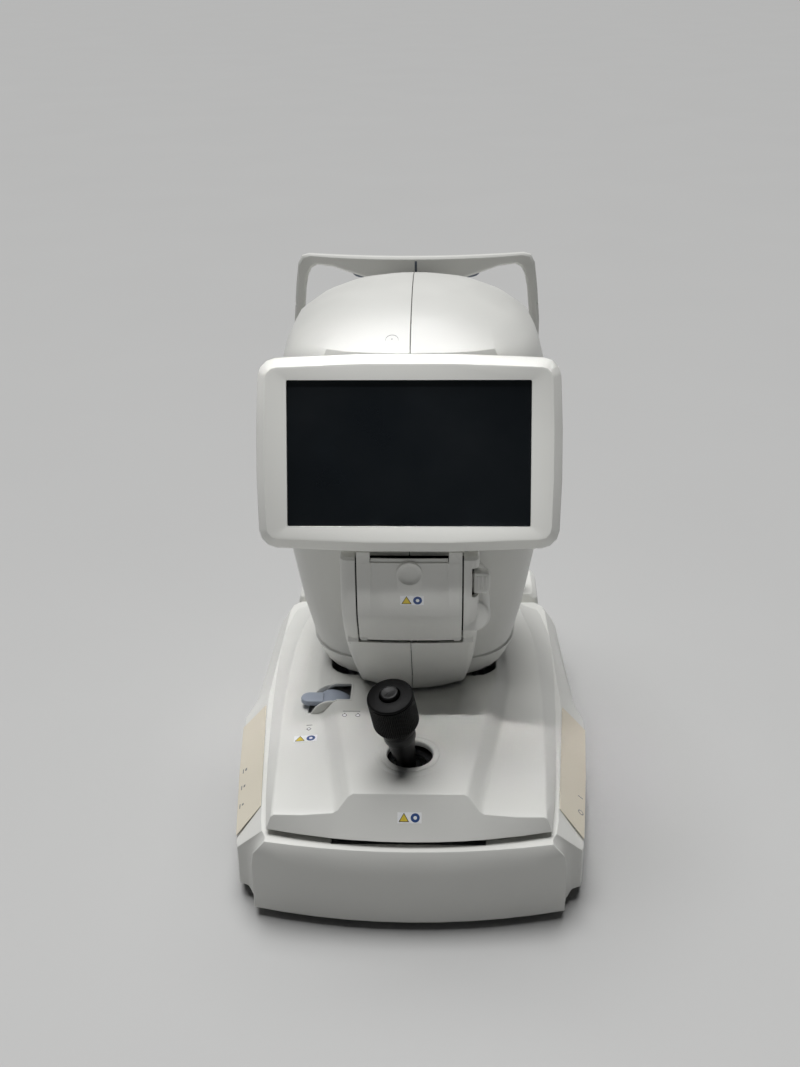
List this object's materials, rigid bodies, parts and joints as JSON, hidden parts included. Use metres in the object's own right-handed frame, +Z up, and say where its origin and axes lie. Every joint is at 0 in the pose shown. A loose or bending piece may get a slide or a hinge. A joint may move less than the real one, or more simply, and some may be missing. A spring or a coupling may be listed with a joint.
{
  "type": "autorefractor",
  "caption": "Table-top eye refractor with a rising head, tilting touch screen, built-in printer, joystick stage, and a chin rest under a forehead frame.",
  "frame": {"origin": "middle of the bounding box on the surface that the feet stand on", "axes": "+Z up, +Y from the operator towards the patient, +X to the operator's right"},
  "size_m": [0.317, 0.52, 0.4442],
  "materials": {
    "shell_white": "fine satin texture",
    "ivory_strip": "satin",
    "black_plastic": "satin",
    "black_knurl": "fine flutes, satin",
    "blue_grey_plastic": "satin",
    "screen_glass": "anti-glare, near black when off",
    "ground_steel": "ground",
    "cast_alloy": "cast",
    "circuit_board": "solder mask",
    "thermal_paper": "paper",
    "foot_rubber": "matt",
    "silicone_pad": "matt",
    "coated_lens": "polished, coated",
    "dark_steel": "matt black"
  },
  "bodies": {
    "base": {"base_cover": "shell_white", "label_strip_left": "ivory_strip", "label_strip_right": "ivory_strip", "base_pan": "cast_alloy", "foot_front_left": "foot_rubber", "foot_front_right": "foot_rubber", "foot_rear_left": "foot_rubber", "foot_rear_right": "foot_rubber", "y_rail_left": "ground_steel", "y_rail_right": "ground_steel", "power_supply": "cast_alloy", "main_board": "circuit_board", "connector_panel": "black_plastic", "switch_panel": "black_plastic", "rear_bridge": "shell_white", "power_inlet": "black_plastic", "face_frame": "shell_white", "forehead_pad": "silicone_pad", "chin_column": "shell_white"},
    "power_rocker": {"power_switch": "black_plastic"},
    "chin_rest": {"chin_rack": "cast_alloy", "chin_cup": "shell_white"},
    "chin_adjuster": {"chin_knob": "black_plastic"},
    "cross_carriage": {"carriage": "cast_alloy", "x_rail_front": "ground_steel", "x_rail_rear": "ground_steel"},
    "stage": {"stage_cover": "shell_white", "stage_block": "cast_alloy", "stage_chassis": "cast_alloy", "lift_motor": "dark_steel", "guide_rod_left": "ground_steel", "guide_rod_right": "ground_steel", "joystick_collar": "black_plastic", "lock_bracket": "ground_steel"},
    "screw": {"lift_screw": "ground_steel"},
    "stage_lock": {"lock_lever": "blue_grey_plastic"},
    "gimbal": {"gimbal_ring": "ground_steel"},
    "joystick": {"joystick_grip": "black_plastic"},
    "ring": {"height_ring": "black_knurl"},
    "button": {"measure_button": "black_plastic"},
    "head": {"head_shell_left": "shell_white", "head_shell_right": "shell_white", "head_frame": "cast_alloy", "optics_housing": "cast_alloy", "lens_barrel": "dark_steel", "objective_lens": "coated_lens", "mire_ring": "black_plastic", "printer_frame": "dark_steel", "screen_bracket": "cast_alloy"},
    "door": {"printer_door": "shell_white"},
    "platen": {"platen_roller": "foot_rubber"},
    "catch": {"door_release": "shell_white"},
    "roll": {"paper_roll": "thermal_paper"},
    "screen": {"screen_bezel": "shell_white", "touch_glass": "screen_glass", "lcd_panel": "black_plastic", "screen_back": "shell_white"}
  },
  "joints": [
    {"name": "stage_fore_aft", "type": "slide", "parent": "base", "child": "cross_carriage", "axis": [0, 1, 0], "range_m": [-0.02, 0.02]},
    {"name": "stage_left_right", "type": "slide", "parent": "cross_carriage", "child": "stage", "axis": [1, 0, 0], "range_m": [-0.044, 0.044]},
    {"name": "head_height", "type": "slide", "parent": "stage", "child": "head", "axis": [0, 0, 1], "range_m": [0, 0.03]},
    {"name": "lift_screw_turn", "type": "hinge", "parent": "stage", "child": "screw", "pos_m": [0, -0.005, 0.108], "axis": [0, 0, 1], "range_deg": [-2290, 10]},
    {"name": "joystick_left_right", "type": "hinge", "parent": "stage", "child": "gimbal", "pos_m": [0, -0.171, 0.084], "axis": [0, 1, 0], "range_deg": [-4.8, 22]},
    {"name": "joystick_fore_aft", "type": "hinge", "parent": "gimbal", "child": "joystick", "pos_m": [0, -0.171, 0.084], "axis": [0.9888, 0, 0.1495], "range_deg": [-30, 0]},
    {"name": "height_ring_turn", "type": "hinge", "parent": "joystick", "child": "ring", "pos_m": [0, -0.171, 0.084], "axis": [-0.1444, -0.2588, 0.9551], "range_deg": [-1120, 5]},
    {"name": "measure_press", "type": "slide", "parent": "joystick", "child": "button", "axis": [0.1444, 0.2588, -0.9551], "range_m": [0, 0.002], "stiffness_N_per_m": 400, "springref_m": -0.001},
    {"name": "stage_lock_turn", "type": "hinge", "parent": "stage", "child": "stage_lock", "pos_m": [-0.071, -0.076, 0.0855], "axis": [0, 1, 0], "range_deg": [0, 35]},
    {"name": "screen_tilt", "type": "hinge", "parent": "head", "child": "screen", "pos_m": [0, -0.0786, 0.404], "axis": [1, 0, 0], "range_deg": [-30, 0]},
    {"name": "printer_door_open", "type": "hinge", "parent": "head", "child": "door", "pos_m": [0, -0.1185, 0.1902], "axis": [1, 0, 0], "range_deg": [0, 45]},
    {"name": "platen_spin", "type": "hinge", "parent": "door", "child": "platen", "pos_m": [0, -0.1248, 0.258], "axis": [1, 0, 0], "continuous": true},
    {"name": "catch_slide", "type": "slide", "parent": "head", "child": "catch", "axis": [1, 0, 0], "range_m": [0, 0.0035], "stiffness_N_per_m": 300, "springref_m": -0.002},
    {"name": "paper_roll_spin", "type": "hinge", "parent": "head", "child": "roll", "pos_m": [0, -0.088, 0.216], "axis": [1, 0, 0], "continuous": true},
    {"name": "chin_rest_height", "type": "slide", "parent": "base", "child": "chin_rest", "axis": [0, 0, 1], "range_m": [-0.03, 0.03]},
    {"name": "chin_knob_turn", "type": "hinge", "parent": "base", "child": "chin_adjuster", "pos_m": [0.012, 0.23, 0.112], "axis": [1, 0, 0], "range_deg": [-220, 220]},
    {"name": "power_rocker_tip", "type": "hinge", "parent": "base", "child": "power_rocker", "pos_m": [0.148, -0.07, 0.03325], "axis": [0, 0, 1], "range_deg": [-12, 0]}
  ],
  "couplings": [
    {"joint": "height_ring_turn", "follows": "head_height", "rad_per_m": -628.32},
    {"joint": "lift_screw_turn", "follows": "head_height", "rad_per_m": -1256.6},
    {"joint": "chin_knob_turn", "follows": "chin_rest_height", "rad_per_m": 125}
  ]
}
